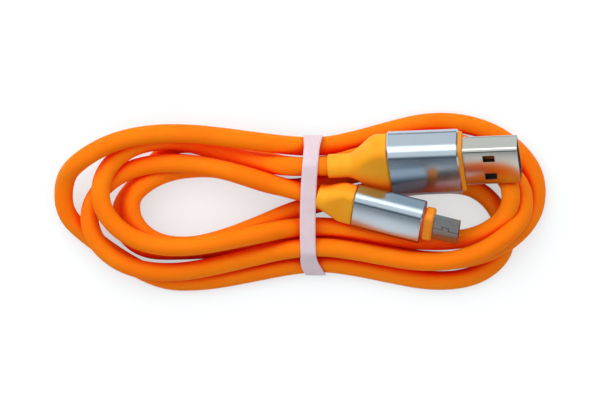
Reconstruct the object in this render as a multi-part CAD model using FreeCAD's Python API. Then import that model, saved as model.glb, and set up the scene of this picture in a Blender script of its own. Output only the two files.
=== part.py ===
"""Charging cable: a one metre lead wound into a flat hank and tied at its waist,
with a USB-A plug and a micro-B plug lying on it.
Frame: millimetres, Z up from the surface, X along the hank, origin under its middle.
"""
import FreeCAD
import Part
import math
import os

V = FreeCAD.Vector

# driving sizes of the cable and its hank
cableDiameter = 4.0
cableSides = 8
flatDepth = 0.4
straightEnd = 4.0
shoulderRatio = 0.71
waistX = 1.7
floorHeight = cableDiameter / 2 - flatDepth

# driving sizes of the tie band
bandWidth = 3.2
bandThickness = 0.3
bandClearance = 0.1

# driving sizes of the USB-A plug, along it from the rear of its boot
usbRear = (6.3, 7.9, 11.1)
usbYaw, usbPitch, usbRoll = 2.2, 6.5, 50.3
usbBootLength = 13.7
usbBootTail = 5.3
usbSleeveLength = 15.7
usbSleeveWidth, usbSleeveHeight, usbSleeveRadius = 16.0, 7.6, 2.3
usbLip = 0.8
usbShellWidth, usbShellHeight, usbShellWall = 12.0, 4.5, 0.3
usbShellReach = 12.1
usbShellTail = 6.5

# driving sizes of the micro-B plug, along it from the rear of its boot
microRear = (4.05, 1.31, 9.49)
microYaw, microPitch, microRoll = -14.0, 6.0, 48.0
microBootLength = 8.3
microBootTail = 5.6
microSleeveLength = 15.8
microSleeveWidth, microSleeveHeight, microSleeveRadius = 10.6, 5.3, 1.8
microCollar = 2.3
microShellWidth, microShellHeight, microShellWall = 6.85, 1.8, 0.25
microShellReach = 5.8
microShellTail = 5.0

sleeveWall = 0.5


class HalfLoop:
    """One end of the hank: in along a crown, round the tip and out along the other crown."""

    def __init__(self, crownIn, tip, crownOut, rises):
        self.crownIn = crownIn
        self.tip = tip
        self.crownOut = crownOut
        self.rises = rises

    def stations(self):
        cx, cy = self.crownIn
        tx, ty = self.tip
        ox, oy = self.crownOut
        away = 0 if tx > 0 else 180
        turn = 90 if oy > cy else -90
        k = shoulderRatio
        first = (cx + k * (tx - cx), ty - k * (ty - cy))
        second = (ox + k * (tx - ox), ty - k * (ty - oy))
        r = self.rises
        return [
            (cx, cy, r[0], away),
            (first[0], first[1], r[1], degrees(tx - cx, ty - cy)),
            (tx, ty, r[2], turn),
            (second[0], second[1], r[3], degrees(ox - tx, oy - ty)),
            (ox, oy, r[4], away + 180),
        ]


class Waist:
    """Where a strand crosses the middle: y, heading, and its rise before, at and after it."""

    def __init__(self, y, heading, before, rise, after):
        self.y = y
        self.heading = heading
        self.before = before
        self.rise = rise
        self.after = after


# half loops in the order that the cable runs through them, from the USB-A plug
halfLoops = [
    HalfLoop((-29.7, 13.5), (-43.9, 2.0), (-27.5, -9.9), (5.8, 7.5, 9.2, 9.0, 9.4)),
    HalfLoop((29.9, -8.4), (45.2, 1.6), (37.5, 8.9), (3.5, 6.7, 8.0, 5.4, 4.0)),
    HalfLoop((-20.9, 7.5), (-37.3, -1.1), (-26.4, -9.7), (1.1, 1.7, 3.1, 4.2, 4.9)),
    HalfLoop((34.3, 3.9), (45.5, -8.4), (31.7, -17.4), (0.0, 0.0, 0.0, 0.0, 0.0)),
    HalfLoop((-25.3, -17.6), (-52.2, 1.3), (-28.1, 15.1), (0.0, 0.0, 4.0, 10.9, 10.7)),
    HalfLoop((31.9, 17.7), (52.6, 2.7), (31.0, -12.7), (0.0, 0.0, 0.0, 4.6, 2.0)),
    HalfLoop((-29.7, -9.7), (-43.9, 2.4), (-29.7, 13.3), (0.0, 0.0, 0.0, 0.0, 0.0)),
    HalfLoop((30.9, 13.8), (49.3, 0.4), (29.2, -13.0), (2.6, 1.2, 6.4, 10.0, 7.1)),
    HalfLoop((-29.7, -15.5), (-46.4, -3.5), (-28.2, 8.6), (4.5, 4.5, 4.5, 4.5, 5.5)),
]

# rises halfway between each plug and its first crown
endRises = (4.5, 8.6)

# crossings of the waist, in the same order
waists = [
    Waist(-4.7, 3, 9.2, 4.4, 3.0),
    Waist(3.6, 196, 0.7, 1.5, 1.6),
    Waist(-1.0, 17, 3.7, 0.9, 0.0),
    Waist(-13.3, 185, 0.0, 0.9, 0.0),
    Waist(13.1, 358, 8.8, 4.1, 0.0),
    Waist(-8.3, 186, 0.0, 0.9, 0.0),
    Waist(8.4, 1, 0.0, 3.0, 4.5),
    Waist(-10.1, 184, 5.1, 5.0, 4.3),
]


def degrees(dx, dy):
    return math.degrees(math.atan2(dy, dx))


def plugPlacement(rear, yaw, pitch, roll):
    return FreeCAD.Placement(V(*rear), FreeCAD.Rotation(yaw, -pitch, roll))


usbPlace = plugPlacement(usbRear, usbYaw, usbPitch, usbRoll)
microPlace = plugPlacement(microRear, microYaw, microPitch, microRoll)


# the route of the cable
def middleStation(start, end, rise):
    """Middle of the cubic that joins two stations at their headings."""
    ax, ay, _, ah = start
    bx, by, _, bh = end
    length = math.hypot(bx - ax, by - ay)
    ux, uy = math.cos(math.radians(ah)), math.sin(math.radians(ah))
    vx, vy = math.cos(math.radians(bh)), math.sin(math.radians(bh))
    x = (ax + bx) / 2 + length * (ux - vx) / 8
    y = (ay + by) / 2 + length * (uy - vy) / 8
    dx = 1.5 * (bx - ax) - 0.25 * length * (ux + vx)
    dy = 1.5 * (by - ay) - 0.25 * length * (uy + vy)
    return (x, y, rise, degrees(dx, dy))


def plugEnd(place, heading):
    """Station where the cable's straight end behind a plug begins to bend."""
    p = place.multVec(V(-straightEnd, 0, 0))
    return (p.x, p.y, p.z - floorHeight, heading)


def routeStations():
    start = plugEnd(usbPlace, usbYaw + 180)
    finish = plugEnd(microPlace, microYaw)
    loops = [loop.stations() for loop in halfLoops]
    stations = [start, middleStation(start, loops[0][0], endRises[0])]
    stations += loops[0]
    for loop, waist in zip(loops[1:], waists):
        crossing = (waistX, waist.y, waist.rise, waist.heading)
        stations.append(middleStation(stations[-1], crossing, waist.before))
        stations.append(crossing)
        stations.append(middleStation(crossing, loop[0], waist.after))
        stations += loop
    stations.append(middleStation(stations[-1], finish, endRises[1]))
    stations.append(finish)
    return stations


def climbRates(stations, first, last):
    """Rise per millimetre at each station: level at a high or low point, else between its spans."""
    lengths = []
    rates = []
    for a, b in zip(stations, stations[1:]):
        chord = math.hypot(b[0] - a[0], b[1] - a[1])
        turn = math.radians((b[3] - a[3] + 180) % 360 - 180)
        lengths.append(chord * (1 + turn * turn / 24))
        rates.append((b[2] - a[2]) / lengths[-1])
    climbs = [first]
    for i in range(1, len(stations) - 1):
        before, after = rates[i - 1], rates[i]
        if before * after <= 0:
            climbs.append(0.0)
            continue
        w = 2 * lengths[i] + lengths[i - 1]
        u = lengths[i] + 2 * lengths[i - 1]
        climbs.append((w + u) / (w / before + u / after))
    climbs.append(last)
    return climbs


def biarc(p, t, q, s):
    """Joint and two corner points of the pair of arcs that leaves p along t and meets q along s."""
    chord = q - p
    both = t + s
    a = 2 * (1 - t.dot(s))
    b = chord.dot(both)
    c = chord.dot(chord)
    reach = c / (2 * b) if a < 1e-9 else (math.sqrt(b * b + a * c) - b) / a
    joint = (p + q + (t - s) * reach) * 0.5
    return [(p, p + t * reach, joint), (joint, q - s * reach, q)]


class Arc:
    """Circular arc from p to q whose tangents meet at the corner."""

    def __init__(self, p, corner, q):
        self.p = p
        self.q = q
        self.middle = (p + q) * 0.5
        half = (q - p).Length / 2
        side = (corner - p).Length
        cosine = min(1.0, half / side)
        self.half = math.acos(cosine)
        self.straight = self.half < 1e-4
        if self.straight:
            self.length = 2 * half
            self.radius = 1e9
            return
        self.radius = half / math.sin(self.half)
        self.length = 2 * self.half * self.radius
        outward = (corner - self.middle).normalize()
        self.centre = self.middle - outward * (self.radius * math.cos(self.half))
        self.outward = outward
        self.along = (q - p).normalize()

    def point(self, share):
        if self.straight:
            return self.p + (self.q - self.p) * share
        angle = self.half * (2 * share - 1)
        up = self.outward * (self.radius * math.cos(angle))
        return self.centre + up + self.along * (self.radius * math.sin(angle))

    def edge(self):
        if self.straight:
            return Part.LineSegment(self.p, self.q).toShape()
        return Part.Arc(self.p, self.point(0.5), self.q).toShape()


def routeArcs():
    stations = routeStations()
    slope = math.tan(math.radians(usbPitch))
    microSlope = math.tan(math.radians(microPitch))
    climbs = climbRates(stations, -slope, microSlope)
    points = []
    tangents = []
    for (x, y, rise, heading), climb in zip(stations, climbs):
        turn = math.radians(heading)
        points.append(V(x, y, floorHeight + rise))
        tangents.append(V(math.cos(turn), math.sin(turn), climb).normalize())
    arcs = []
    for i in range(len(points) - 1):
        for corner in biarc(points[i], tangents[i], points[i + 1], tangents[i + 1]):
            arcs.append(Arc(*corner))
    return points, arcs


def samplePoints(points, arcs, step):
    """Points along the route with their distance from its start, straight ends included."""
    rear = usbPlace.multVec(V(0, 0, 0))
    far = microPlace.multVec(V(0, 0, 0))
    samples = []
    travelled = 0.0
    runs = [Arc(rear, (rear + points[0]) * 0.5, points[0])] + arcs
    runs.append(Arc(points[-1], (points[-1] + far) * 0.5, far))
    for run in runs:
        count = max(1, int(round(run.length / step)))
        for i in range(count):
            samples.append((travelled + run.length * i / count, run.point(i / count)))
        travelled += run.length
    return samples


def leastGap(samples):
    """Least clear space between two strands that are not neighbours along the cable."""
    least = 1e9
    where = None
    for i, (s, p) in enumerate(samples):
        for t, q in samples[i + 1:]:
            if t - s < 3 * cableDiameter:
                continue
            if abs(p.x - q.x) > 6 or abs(p.y - q.y) > 6:
                continue
            distance = p.distanceToPoint(q)
            if distance < least:
                least = distance
                where = (p, q)
    return least - cableDiameter, where


def cableSection(centre, along):
    """Many-sided outline of the cable, square to the way it runs."""
    side = along.cross(V(0, 0, 1)).normalize()
    up = side.cross(along).normalize()
    radius = cableDiameter / 2
    corners = []
    for i in range(cableSides):
        angle = 2 * math.pi * (i + 0.5) / cableSides
        corners.append(centre + side * (radius * math.cos(angle)) + up * (radius * math.sin(angle)))
    return Part.makePolygon(corners + [corners[0]])


def cableJacket(points, arcs):
    """The whole cable as one tube, flat where it rests on the surface."""
    rear = usbPlace.multVec(V(0, 0, 0))
    far = microPlace.multVec(V(0, 0, 0))
    edges = [Part.LineSegment(rear, points[0]).toShape()]
    edges += [arc.edge() for arc in arcs]
    edges.append(Part.LineSegment(points[-1], far).toShape())
    path = Part.Wire(edges)
    section = cableSection(rear, (points[0] - rear).normalize())
    tube = path.makePipeShell([section], True, False)
    swept = Part.Face(section).Area * path.Length
    print("cable length %.1f mm, %d arcs" % (path.Length, len(arcs)))
    print("tube volume %.1f, section times length %.1f" % (tube.Volume, swept))
    above = Part.makeBox(140, 80, 40, V(-70, -40, 0))
    return tube.common(above)


# shared shapes for both plugs
def roundedFrame(x, width, height, radius):
    """Closed rounded rectangle across a plug at x."""
    a = width / 2
    b = height / 2
    r = min(radius, a - 0.02, b - 0.02)
    k = r * (1 - math.sqrt(0.5))
    edges = []
    corners = [(1, 1), (-1, 1), (-1, -1), (1, -1)]
    for i, (sy, sz) in enumerate(corners):
        begin = V(x, sy * a, sz * (b - r))
        end = V(x, sy * (a - r), sz * b)
        if sy * sz < 0:
            begin, end = end, begin
        edges.append(Part.Arc(begin, V(x, sy * (a - k), sz * (b - k)), end).toShape())
        ny, nz = corners[(i + 1) % 4]
        following = V(x, ny * (a - r), nz * b) if sz == nz else V(x, ny * a, nz * (b - r))
        edges.append(Part.LineSegment(end, following).toShape())
    return Part.Wire(edges)


def roundedPrism(x, length, width, height, radius):
    face = Part.Face(roundedFrame(x, width, height, radius))
    return face.extrude(V(length, 0, 0))


def frameLoft(frames):
    """Solid through rounded frames given as x, width, height, radius."""
    wires = [roundedFrame(*frame) for frame in frames]
    return Part.makeLoft(wires, True, True)


def sleeve(x, length, width, height, radius):
    """Drawn aluminium tube with both rims chamfered outside."""
    rim = 0.3
    frames = [
        (x, width - 2 * rim, height - 2 * rim, radius - rim),
        (x + rim, width, height, radius),
    ]
    rear = Part.makeLoft([roundedFrame(*f) for f in frames], True, True)
    body = roundedPrism(x + rim, length - 2 * rim, width, height, radius)
    frames = [
        (x + length - rim, width, height, radius),
        (x + length, width - 2 * rim, height - 2 * rim, radius - rim),
    ]
    front = Part.makeLoft([roundedFrame(*f) for f in frames], True, True)
    outer = rear.fuse([body, front]).removeSplitter()
    inset = 2 * sleeveWall
    bore = roundedPrism(x, length, width - inset, height - inset, radius - sleeveWall)
    return outer.cut(bore)


def smoothStep(t):
    """Eased share between two sizes, level at both ends."""
    t = min(max(t, 0.0), 1.0)
    return t * t * (3 - 2 * t)


def boot(length, tail, width, height, radius, hold, flare):
    """Moulded strain relief: a round tail that swells into the plug's full section."""
    corner = 0.42 * tail
    frames = [(0.0, tail, tail, corner), (hold, tail, tail, corner)]
    steps = 3
    for i in range(1, steps + 1):
        share = smoothStep(i / steps)
        x = hold + (flare - hold) * i / steps
        wide = tail + (width - tail) * share
        high = tail + (height - tail) * share
        frames.append((x, wide, high, corner + (radius - corner) * share))
    frames.append((length, width, height, radius))
    return frameLoft(frames)


# USB-A plug
usbSleeveX = usbBootLength
usbFrontX = usbSleeveX + usbSleeveLength + usbLip
usbMouthX = usbFrontX + usbShellReach


def usbBoot():
    return boot(usbBootLength, usbBootTail, 15.2, 6.9, 2.1, 4.2, 11.6)


def usbSleeve():
    return sleeve(usbSleeveX, usbSleeveLength, usbSleeveWidth, usbSleeveHeight, usbSleeveRadius)


def usbShellBlank(inset):
    x = usbFrontX - usbShellTail
    w = usbShellWidth - 2 * inset
    h = usbShellHeight - 2 * inset
    return roundedPrism(x, usbShellTail + usbShellReach, w, h, 0.75 - inset)


def usbShell():
    """Stamped shell with two latch windows in each wide face."""
    shell = usbShellBlank(0).cut(usbShellBlank(usbShellWall))
    for side in (-1, 1):
        x = usbMouthX - 6.4 - 2.65 / 2
        window = Part.makeBox(2.65, 2.1, 10, V(x, side * 3.0 - 1.05, -5))
        shell = shell.cut(window)
    return shell


def usbInnerMould():
    """Hard block inside the sleeve that holds the shell and shows as a lip before it."""
    w = usbSleeveWidth - 2 * sleeveWall
    h = usbSleeveHeight - 2 * sleeveWall
    core = roundedPrism(usbSleeveX, usbSleeveLength, w, h, usbSleeveRadius - sleeveWall)
    lipFrames = [
        (usbSleeveX + usbSleeveLength, w + 0.3, h + 0.3, usbSleeveRadius - 0.3),
        (usbFrontX, w - 0.3, h - 0.3, usbSleeveRadius - 0.6),
    ]
    lip = Part.makeLoft([roundedFrame(*f) for f in lipFrames], True, True)
    return core.fuse(lip).cut(usbShellBlank(0))


usbContactPitch = (3.5, 1.0, -1.0, -3.5)
usbTongueTop = -usbShellHeight / 2 + usbShellWall + 1.84


def usbInsulator():
    """Tongue along the lower wall, with a block behind it and a groove for each contact."""
    w = usbShellWidth - 2 * usbShellWall
    low = -usbShellHeight / 2 + usbShellWall
    tail = usbFrontX - usbShellTail
    blank = usbShellBlank(usbShellWall)
    rise = usbShellHeight - 2 * usbShellWall
    block = Part.makeBox(usbMouthX - 11.7 - tail, w, rise, V(tail, -w / 2, low))
    tongue = Part.makeBox(usbMouthX - 0.6 - tail, w, 1.84, V(tail, -w / 2, low))
    solid = block.fuse(tongue).removeSplitter().common(blank)
    nose = Part.makeBox(2, w, 2, V(0, -w / 2, 0))
    nose.rotate(V(0, 0, 0), V(0, 1, 0), 30)
    nose.translate(V(usbMouthX - 1.1, 0, usbTongueTop))
    solid = solid.cut(nose)
    for i in range(4):
        solid = solid.cut(usbContact(i))
    return solid


def usbContact(i):
    """Contact strip in its groove, its front end bent down into the tongue."""
    long = i in (0, 3)
    front = usbMouthX - (1.6 if long else 2.6)
    back = usbMouthX - 11.7
    z = usbTongueTop + 0.12
    t = 0.28
    drop = 0.5
    outline = [
        V(back, 0, z), V(front - 0.8, 0, z), V(front, 0, z - drop),
        V(front, 0, z - drop - t), V(front - 0.8 - 0.1, 0, z - t), V(back, 0, z - t),
    ]
    face = Part.Face(Part.makePolygon(outline + [outline[0]]))
    strip = face.extrude(V(0, 1.0, 0))
    strip.translate(V(0, usbContactPitch[i] - 0.5, 0))
    return strip


# micro-B plug
microSleeveX = microBootLength
microFrontX = microSleeveX + microSleeveLength + microCollar
microMouthX = microFrontX + microShellReach
microTailX = microFrontX - microShellTail


def microBoot():
    return boot(microBootLength, microBootTail, 10.0, 4.8, 1.7, 0.6, 6.2)


def microSleeve():
    return sleeve(microSleeveX, microSleeveLength, microSleeveWidth, microSleeveHeight,
                  microSleeveRadius)


def microSection(x, inset):
    """Keyed outline: square upper corners and two long bevels below."""
    a = microShellWidth / 2 - inset
    b = microShellHeight / 2 - inset
    low = 2.55 - 0.4 * inset
    knee = -0.15
    outline = [V(x, a, b), V(x, -a, b), V(x, -a, knee), V(x, -low, -b),
               V(x, low, -b), V(x, a, knee)]
    return Part.makePolygon(outline + [outline[0]])


def microShellBlank(inset):
    face = Part.Face(microSection(microTailX, inset))
    return face.extrude(V(microShellTail + microShellReach, 0, 0))


latchY = 1.85
latchWidth = 0.5
latchTipX = microMouthX - 1.35
latchRootX = latchTipX - 5.4
latchFloor = -microShellHeight / 2 + microShellWall


def microShell():
    """Stamped shell with a slot below for each sprung latch."""
    shell = microShellBlank(0).cut(microShellBlank(microShellWall))
    for side in (-1, 1):
        w = latchWidth + 0.3
        slot = Part.makeBox(1.7, w, 1.0, V(latchTipX - 1.35, side * latchY - w / 2, -1.4))
        shell = shell.cut(slot)
    return shell


def microInnerMould():
    """Hard block inside the sleeve, stepped in to the collar round the shell."""
    w = microSleeveWidth - 2 * sleeveWall
    h = microSleeveHeight - 2 * sleeveWall
    core = roundedPrism(microSleeveX, microSleeveLength, w, h, microSleeveRadius - sleeveWall)
    x = microSleeveX + microSleeveLength
    groove = roundedPrism(x, 0.4, 7.4, 3.6, 1.1)
    frames = [(x + 0.4, 8.2, 4.1, 1.4), (microFrontX - 0.35, 8.2, 4.1, 1.4),
              (microFrontX, 7.6, 3.5, 1.1)]
    collar = Part.makeLoft([roundedFrame(*f) for f in frames], True, True)
    return core.fuse([groove, collar]).cut(microShellBlank(0))


microContactPitch = (1.3, 0.65, 0.0, -0.65, -1.3)


def microInsulator():
    """Contact carrier under the upper wall, with the block that closes the shell behind it."""
    blank = microShellBlank(microShellWall)
    w = 3.6
    plate = Part.makeBox(microMouthX - 0.5 - microTailX, w, 0.5, V(microTailX, -w / 2, 0.15))
    block = Part.makeBox(latchRootX - 1.0 - microTailX, 8, 3, V(microTailX, -4, -1.5))
    solid = plate.fuse(block).removeSplitter().common(blank)
    for i in range(5):
        solid = solid.cut(microContact(i))
    return solid


def microContact(i):
    """Contact strip let into the lower face of the carrier."""
    back = latchRootX - 1.0
    front = microMouthX - 1.0
    return Part.makeBox(front - back, 0.37, 0.2, V(back, microContactPitch[i] - 0.185, 0.05))


def microLatchBase():
    """Cross strip that carries the roots of both latch springs."""
    w = 2 * latchY + latchWidth
    return Part.makeBox(0.9, w, 0.2, V(latchRootX - 1.0, -w / 2, latchFloor))


def microLatch(side):
    """Spring arm with the hook that stands out through the shell's slot."""
    z = latchFloor + 0.06
    t = 0.18
    tip = latchTipX
    outline = [
        V(latchRootX, 0, z + 0.02), V(tip - 1.0, 0, z + 0.02), V(tip - 0.9, 0, z - 0.35 - 0.36),
        V(tip - 0.55, 0, z - 0.35 - 0.36), V(tip, 0, z), V(tip, 0, z + t), V(latchRootX, 0, z + t),
    ]
    face = Part.Face(Part.makePolygon(outline + [outline[0]]))
    hook = face.extrude(V(0, latchWidth, 0))
    hook.translate(V(0, side * latchY - latchWidth / 2, 0))
    return hook


# tie band
def convexHull(points):
    """Corners of the smallest convex outline round the points, anticlockwise."""
    ordered = sorted(set(points))

    def half(run):
        chain = []
        for p in run:
            while len(chain) > 1:
                (ax, ay), (bx, by) = chain[-2], chain[-1]
                if (bx - ax) * (p[1] - ay) - (by - ay) * (p[0] - ax) > 1e-9:
                    break
                chain.pop()
            chain.append(p)
        return chain[:-1]

    return half(ordered) + half(reversed(ordered))


def beltFace(corners, offset, x):
    """Outline that runs round equal circles at the corners, at an offset from their centres."""
    edges = []
    count = len(corners)
    for i in range(count):
        before, here, after = corners[i - 1], corners[i], corners[(i + 1) % count]
        normals = []
        for a, b in ((before, here), (here, after)):
            dy, dz = b[0] - a[0], b[1] - a[1]
            size = math.hypot(dy, dz)
            normals.append((dz / size, -dy / size))
        mean = (normals[0][0] + normals[1][0], normals[0][1] + normals[1][1])
        size = math.hypot(*mean)
        spots = []
        for n in (normals[0], (mean[0] / size, mean[1] / size), normals[1]):
            spots.append(V(x, here[0] + offset * n[0], here[1] + offset * n[1]))
        edges.append(Part.Arc(*spots).toShape())
        leave = normals[1]
        following = V(x, after[0] + offset * leave[0], after[1] + offset * leave[1])
        edges.append(Part.LineSegment(spots[2], following).toShape())
    return Part.Face(Part.Wire(edges))


def tieBand(samples):
    """Flat band drawn round every strand that passes through its width."""
    x = waistX - bandWidth / 2
    offset = cableDiameter / 2 + bandClearance
    lowest = offset + bandThickness
    inside = [p for _, p in samples if x - 0.4 <= p.x <= x + bandWidth + 0.4]
    corners = convexHull([(round(p.y, 3), round(max(p.z, lowest), 3)) for p in inside])
    outer = beltFace(corners, offset + bandThickness, x).extrude(V(bandWidth, 0, 0))
    inner = beltFace(corners, offset, x).extrude(V(bandWidth, 0, 0))
    return outer.cut(inner)


# build, place and write every piece
def main():
    os.makedirs("parts", exist_ok=True)
    points, arcs = routeArcs()
    samples = samplePoints(points, arcs, 0.5)
    gap, where = leastGap(samples)
    radii = sorted(arc.radius for arc in arcs if not arc.straight)
    print("least gap of the cable to itself %.2f mm" % gap)
    print("tightest radii", ["%.1f" % r for r in radii[:8]])
    nodes = {
        "cable_jacket": cableJacket(points, arcs),
        "tie_band": tieBand(samples),
    }
    usb = {
        "usb_a_boot": usbBoot(),
        "usb_a_sleeve": usbSleeve(),
        "usb_a_inner_mould": usbInnerMould(),
        "usb_a_shell": usbShell(),
        "usb_a_insulator": usbInsulator(),
    }
    for i, name in enumerate(("power", "data_minus", "data_plus", "ground")):
        usb["usb_a_contact_" + name] = usbContact(i)
    micro = {
        "micro_b_boot": microBoot(),
        "micro_b_sleeve": microSleeve(),
        "micro_b_inner_mould": microInnerMould(),
        "micro_b_shell": microShell(),
        "micro_b_insulator": microInsulator(),
        "micro_b_latch_base": microLatchBase(),
        "micro_b_latch_left": microLatch(1),
        "micro_b_latch_right": microLatch(-1),
    }
    for i, name in enumerate(("power", "data_minus", "data_plus", "id", "ground")):
        micro["micro_b_contact_" + name] = microContact(i)
    for pieces, place in ((usb, usbPlace), (micro, microPlace)):
        for name, shape in pieces.items():
            shape.Placement = place.multiply(shape.Placement)
            nodes[name] = shape
    for name, shape in nodes.items():
        shape.exportStep("parts/%s.step" % name)
        print("%-26s %9.2f mm3 %d" % (name, shape.Volume, len(shape.Solids)))
    print("nodes:", len(nodes))


main()
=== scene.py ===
import bpy
import bmesh
import math
from mathutils import Matrix, Vector


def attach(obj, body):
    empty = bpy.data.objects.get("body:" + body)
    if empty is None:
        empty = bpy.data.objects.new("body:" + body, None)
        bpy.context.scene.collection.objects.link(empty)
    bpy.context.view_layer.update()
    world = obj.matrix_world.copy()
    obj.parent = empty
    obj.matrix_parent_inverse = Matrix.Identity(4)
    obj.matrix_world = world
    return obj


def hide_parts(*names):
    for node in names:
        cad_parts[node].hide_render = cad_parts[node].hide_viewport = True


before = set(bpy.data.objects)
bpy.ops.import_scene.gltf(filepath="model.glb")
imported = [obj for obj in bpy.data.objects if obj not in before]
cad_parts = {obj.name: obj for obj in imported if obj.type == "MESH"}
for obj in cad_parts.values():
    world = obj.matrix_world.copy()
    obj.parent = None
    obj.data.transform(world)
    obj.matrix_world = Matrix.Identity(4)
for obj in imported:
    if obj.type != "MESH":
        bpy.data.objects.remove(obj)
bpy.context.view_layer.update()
mm = 0.001
print("frame loaded:", len(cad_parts), "nodes")


# camera
view = {
    "centre": (0.11 * mm, 0.44 * mm),
    "height": 1.8,
    "subjectHeight": 9 * mm,
    "pixelsPerMetre": 4530,
    "imageWidth": 600,
    "sensorWidth": 36,
    "clip": (0.1, 10),
}


def addCamera(s):
    data = bpy.data.cameras.new("topCamera")
    camera = bpy.data.objects.new("topCamera", data)
    bpy.context.scene.collection.objects.link(camera)
    camera.location = (*s["centre"], s["height"])
    span = s["imageWidth"] / s["pixelsPerMetre"]
    data.sensor_width = s["sensorWidth"]
    data.lens = s["sensorWidth"] * (s["height"] - s["subjectHeight"]) / span
    data.clip_start, data.clip_end = s["clip"]
    bpy.context.scene.camera = camera


addCamera(view)
bpy.context.scene.view_settings.view_transform = "Standard"
print("camera placed")


# shader helpers
def addNode(tree, kind, **settings):
    node = tree.nodes.new(kind)
    for key, value in settings.items():
        setattr(node, key, value)
    return node


def setInputs(node, **values):
    for name, value in values.items():
        node.inputs[name.replace("_", " ")].default_value = value
    return node


def newGroup(name, inputs, outputs):
    group = bpy.data.node_groups.new(name, "ShaderNodeTree")
    for label, kind, value in inputs:
        socket = group.interface.new_socket(label, in_out="INPUT", socket_type=kind)
        if value is not None:
            socket.default_value = value
    for label, kind in outputs:
        group.interface.new_socket(label, in_out="OUTPUT", socket_type=kind)
    return group, group.nodes.new("NodeGroupInput"), group.nodes.new("NodeGroupOutput")


def mathNode(tree, operation, *values):
    node = addNode(tree, "ShaderNodeMath", operation=operation)
    for socket, value in zip(node.inputs, values):
        if isinstance(value, (int, float)):
            socket.default_value = value
        else:
            tree.links.new(value, socket)
    return node.outputs[0]


grain = {
    "fineDetail": 3.0,
    "fineRoughness": 0.6,
    "patchDetail": 2.0,
    "patchRoughness": 0.5,
    "depthShare": 0.7,
    "patchRange": (0.35, 0.65),
}


def makeFineGrain(s):
    # moulded or extruded skin: fine pitting over a slow unevenness
    group, enter, leave = newGroup(
        "fineGrain",
        [("Vector", "NodeSocketVector", None),
         ("Grain Per Metre", "NodeSocketFloat", 4000.0),
         ("Patch Per Metre", "NodeSocketFloat", 160.0)],
        [("Height", "NodeSocketFloat"), ("Patch", "NodeSocketFloat")],
    )
    fine = addNode(group, "ShaderNodeTexNoise")
    setInputs(fine, Detail=s["fineDetail"], Roughness=s["fineRoughness"])
    patch = addNode(group, "ShaderNodeTexNoise")
    setInputs(patch, Detail=s["patchDetail"], Roughness=s["patchRoughness"])
    for noise, socket in ((fine, "Grain Per Metre"), (patch, "Patch Per Metre")):
        group.links.new(enter.outputs["Vector"], noise.inputs["Vector"])
        group.links.new(enter.outputs[socket], noise.inputs["Scale"])
    height = mathNode(group, "MULTIPLY", fine.outputs["Fac"], s["depthShare"])
    group.links.new(height, leave.inputs["Height"])
    spread = addNode(group, "ShaderNodeMapRange")
    setInputs(spread, From_Min=s["patchRange"][0], From_Max=s["patchRange"][1])
    group.links.new(patch.outputs["Fac"], spread.inputs["Value"])
    group.links.new(spread.outputs["Result"], leave.inputs["Patch"])
    return group


drawn = {
    "lineDetail": 4.0,
    "lineRoughness": 0.65,
    "cloudScale": 220.0,
    "cloudDetail": 2.0,
    "lineShare": 0.6,
    "cloudShare": 0.4,
}


def makeDrawLines(s):
    # faint lines that the rolling or drawing of sheet metal leaves along it
    group, enter, leave = newGroup(
        "drawLines",
        [("Vector", "NodeSocketVector", None),
         ("Lines Per Metre", "NodeSocketFloat", 3000.0),
         ("Stretch", "NodeSocketFloat", 0.03)],
        [("Height", "NodeSocketFloat"), ("Tone", "NodeSocketFloat")],
    )
    squeeze = addNode(group, "ShaderNodeCombineXYZ")
    setInputs(squeeze, Y=1.0, Z=1.0)
    group.links.new(enter.outputs["Stretch"], squeeze.inputs["X"])
    product = addNode(group, "ShaderNodeVectorMath", operation="MULTIPLY")
    group.links.new(enter.outputs["Vector"], product.inputs[0])
    group.links.new(squeeze.outputs[0], product.inputs[1])
    lines = addNode(group, "ShaderNodeTexNoise")
    setInputs(lines, Detail=s["lineDetail"], Roughness=s["lineRoughness"])
    group.links.new(product.outputs[0], lines.inputs["Vector"])
    group.links.new(enter.outputs["Lines Per Metre"], lines.inputs["Scale"])
    cloud = addNode(group, "ShaderNodeTexNoise")
    setInputs(cloud, Scale=s["cloudScale"], Detail=s["cloudDetail"])
    group.links.new(enter.outputs["Vector"], cloud.inputs["Vector"])
    lined = mathNode(group, "MULTIPLY", lines.outputs["Fac"], s["lineShare"])
    clouded = mathNode(group, "MULTIPLY", cloud.outputs["Fac"], s["cloudShare"])
    tone = mathNode(group, "ADD", lined, clouded)
    group.links.new(lines.outputs["Fac"], leave.inputs["Height"])
    group.links.new(tone, leave.inputs["Tone"])
    return group


def makeCrownedFace():
    # normal of a metal face that is slightly fuller in its middle, and leans
    group, enter, leave = newGroup(
        "crownedFace",
        [("Vector", "NodeSocketVector", None),
         ("Across", "NodeSocketVector", None),
         ("Crown", "NodeSocketFloat", 0.0),
         ("Lean", "NodeSocketFloat", 0.0)],
        [("Normal", "NodeSocketVector")],
    )
    split = addNode(group, "ShaderNodeSeparateXYZ")
    group.links.new(enter.outputs["Vector"], split.inputs[0])
    tilt = mathNode(group, "MULTIPLY_ADD", split.outputs["Y"], enter.outputs["Crown"],
                    enter.outputs["Lean"])
    push = addNode(group, "ShaderNodeVectorMath", operation="SCALE")
    group.links.new(enter.outputs["Across"], push.inputs[0])
    group.links.new(tilt, push.inputs["Scale"])
    total = addNode(group, "ShaderNodeVectorMath", operation="ADD")
    surface = addNode(group, "ShaderNodeNewGeometry")
    group.links.new(surface.outputs["Normal"], total.inputs[0])
    group.links.new(push.outputs[0], total.inputs[1])
    unit = addNode(group, "ShaderNodeVectorMath", operation="NORMALIZE")
    group.links.new(total.outputs[0], unit.inputs[0])
    group.links.new(unit.outputs[0], leave.inputs["Normal"])
    return group


fineGrain = makeFineGrain(grain)
drawLines = makeDrawLines(drawn)
crownedFace = makeCrownedFace()


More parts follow.
